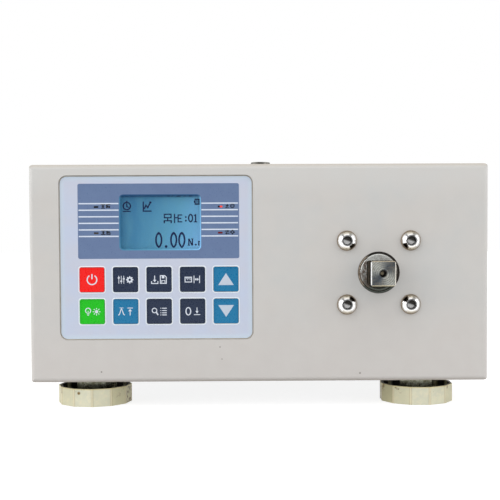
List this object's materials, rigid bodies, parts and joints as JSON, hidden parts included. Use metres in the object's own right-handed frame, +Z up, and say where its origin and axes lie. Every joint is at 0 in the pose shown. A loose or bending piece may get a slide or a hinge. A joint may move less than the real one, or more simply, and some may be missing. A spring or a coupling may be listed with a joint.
{
  "type": "torque tester",
  "caption": "Bench torque tester: folded steel case with a square drive on a torsion spindle, a membrane keypad with a display, and screw-out levelling feet.",
  "frame": {"origin": "middle of the underside of the bounding box, on the plane that the feet stand on", "axes": "+Z up, the front with the drive and the keypad faces -Y, +X to the right as the operator sees it"},
  "size_m": [0.2434, 0.1838, 0.1332],
  "materials": {
    "case_paint": "fine texture",
    "plate_steel": "satin",
    "black_steel": "satin",
    "film": "satin",
    "window": "gloss",
    "circuit_film": "satin",
    "dome_steel": "satin",
    "carrier_aluminium": "satin",
    "ribbon": "gloss",
    "led": "gloss",
    "bezel_steel": "satin",
    "lcd_glass": "gloss",
    "diffuser": "satin",
    "board": "satin",
    "chips": "satin",
    "brass": "satin",
    "zinc": "satin",
    "alloy_steel": "turned",
    "housing_steel": "satin",
    "chrome": "bright",
    "bearing_steel": "bright",
    "spring_steel": "satin",
    "bracket_steel": "satin",
    "gauge": "satin",
    "lead": "satin",
    "sleeve": "gloss",
    "black_plastic": "satin",
    "port_steel": "satin",
    "level_metal": "satin",
    "vial": "gloss",
    "key_red": "satin",
    "key_green": "satin",
    "key_navy": "satin",
    "key_blue": "satin",
    "foot_cream": "satin",
    "stud_zinc": "satin"
  },
  "bodies": {
    "case": {"case_shell": "case_paint", "base_plate": "plate_steel", "base_screws": "black_steel", "rear_panel": "case_paint", "rear_panel_screws": "black_steel", "keypad_overlay": "film", "display_window": "window", "keypad_circuit": "circuit_film", "snap_domes": "dome_steel", "keypad_carrier": "carrier_aluminium", "keypad_ribbon": "ribbon", "status_leds": "led", "lcd_bezel": "bezel_steel", "lcd_glass": "lcd_glass", "lcd_backlight": "diffuser", "main_board": "board", "board_chips": "chips", "board_spacers": "brass", "board_screws": "zinc", "torque_sensor": "alloy_steel", "bearing_housing": "housing_steel", "housing_screws": "chrome", "bearing_outer_ring": "bearing_steel", "bearing_inner_ring": "bearing_steel", "bearing_balls": "bearing_steel", "bearing_circlip": "spring_steel", "sensor_bracket": "bracket_steel", "sensor_screws": "black_steel", "bracket_screws": "black_steel", "strain_gauges": "gauge", "sensor_cable": "lead", "battery_pack": "sleeve", "battery_strap": "zinc", "battery_screws": "zinc", "charge_jack": "black_plastic", "data_port": "port_steel", "port_jackscrews": "zinc", "level_body": "level_metal", "level_vial": "vial"},
    "key_power_cap": {"key_power": "key_red"},
    "key_set_cap": {"key_set": "key_navy"},
    "key_save_cap": {"key_save": "key_navy"},
    "key_unit_cap": {"key_unit": "key_navy"},
    "key_up_cap": {"key_up": "key_blue"},
    "key_light_cap": {"key_light": "key_green"},
    "key_peak_cap": {"key_peak": "key_blue"},
    "key_view_cap": {"key_view": "key_navy"},
    "key_zero_cap": {"key_zero": "key_navy"},
    "key_down_cap": {"key_down": "key_blue"},
    "foot_fl": {"foot_cup_fl": "foot_cream"},
    "stud_fl": {"foot_stud_fl": "stud_zinc"},
    "foot_fr": {"foot_cup_fr": "foot_cream"},
    "stud_fr": {"foot_stud_fr": "stud_zinc"},
    "foot_rl": {"foot_cup_rl": "foot_cream"},
    "stud_rl": {"foot_stud_rl": "stud_zinc"},
    "foot_rr": {"foot_cup_rr": "foot_cream"},
    "stud_rr": {"foot_stud_rr": "stud_zinc"}
  },
  "joints": [
    {"name": "key_power_press", "type": "slide", "parent": "case", "child": "key_power_cap", "axis": [0, 1, 0], "range_m": [0, 0.0004], "stiffness_N_per_m": 1500, "springref_m": -0.0002},
    {"name": "key_set_press", "type": "slide", "parent": "case", "child": "key_set_cap", "axis": [0, 1, 0], "range_m": [0, 0.0004], "stiffness_N_per_m": 1500, "springref_m": -0.0002},
    {"name": "key_save_press", "type": "slide", "parent": "case", "child": "key_save_cap", "axis": [0, 1, 0], "range_m": [0, 0.0004], "stiffness_N_per_m": 1500, "springref_m": -0.0002},
    {"name": "key_unit_press", "type": "slide", "parent": "case", "child": "key_unit_cap", "axis": [0, 1, 0], "range_m": [0, 0.0004], "stiffness_N_per_m": 1500, "springref_m": -0.0002},
    {"name": "key_up_press", "type": "slide", "parent": "case", "child": "key_up_cap", "axis": [0, 1, 0], "range_m": [0, 0.0004], "stiffness_N_per_m": 1500, "springref_m": -0.0002},
    {"name": "key_light_press", "type": "slide", "parent": "case", "child": "key_light_cap", "axis": [0, 1, 0], "range_m": [0, 0.0004], "stiffness_N_per_m": 1500, "springref_m": -0.0002},
    {"name": "key_peak_press", "type": "slide", "parent": "case", "child": "key_peak_cap", "axis": [0, 1, 0], "range_m": [0, 0.0004], "stiffness_N_per_m": 1500, "springref_m": -0.0002},
    {"name": "key_view_press", "type": "slide", "parent": "case", "child": "key_view_cap", "axis": [0, 1, 0], "range_m": [0, 0.0004], "stiffness_N_per_m": 1500, "springref_m": -0.0002},
    {"name": "key_zero_press", "type": "slide", "parent": "case", "child": "key_zero_cap", "axis": [0, 1, 0], "range_m": [0, 0.0004], "stiffness_N_per_m": 1500, "springref_m": -0.0002},
    {"name": "key_down_press", "type": "slide", "parent": "case", "child": "key_down_cap", "axis": [0, 1, 0], "range_m": [0, 0.0004], "stiffness_N_per_m": 1500, "springref_m": -0.0002},
    {"name": "foot_fl_raise", "type": "slide", "parent": "case", "child": "foot_fl", "axis": [0, 0, -1], "range_m": [0, 0.01]},
    {"name": "foot_fl_turn", "type": "hinge", "parent": "foot_fl", "child": "stud_fl", "pos_m": [-0.09, -0.0499, 0], "axis": [0, 0, -1], "range_deg": [0, 2401]},
    {"name": "foot_fr_raise", "type": "slide", "parent": "case", "child": "foot_fr", "axis": [0, 0, -1], "range_m": [0, 0.01]},
    {"name": "foot_fr_turn", "type": "hinge", "parent": "foot_fr", "child": "stud_fr", "pos_m": [0.086, -0.0499, 0], "axis": [0, 0, -1], "range_deg": [0, 2401]},
    {"name": "foot_rl_raise", "type": "slide", "parent": "case", "child": "foot_rl", "axis": [0, 0, -1], "range_m": [0, 0.01]},
    {"name": "foot_rl_turn", "type": "hinge", "parent": "foot_rl", "child": "stud_rl", "pos_m": [-0.09, 0.0621, 0], "axis": [0, 0, -1], "range_deg": [0, 2401]},
    {"name": "foot_rr_raise", "type": "slide", "parent": "case", "child": "foot_rr", "axis": [0, 0, -1], "range_m": [0, 0.01]},
    {"name": "foot_rr_turn", "type": "hinge", "parent": "foot_rr", "child": "stud_rr", "pos_m": [0.086, 0.0621, 0], "axis": [0, 0, -1], "range_deg": [0, 2401]}
  ],
  "couplings": [
    {"joint": "foot_fl_turn", "follows": "foot_fl_raise", "rad_per_m": 4188.8},
    {"joint": "foot_fr_turn", "follows": "foot_fr_raise", "rad_per_m": 4188.8},
    {"joint": "foot_rl_turn", "follows": "foot_rl_raise", "rad_per_m": 4188.8},
    {"joint": "foot_rr_turn", "follows": "foot_rr_raise", "rad_per_m": 4188.8}
  ]
}
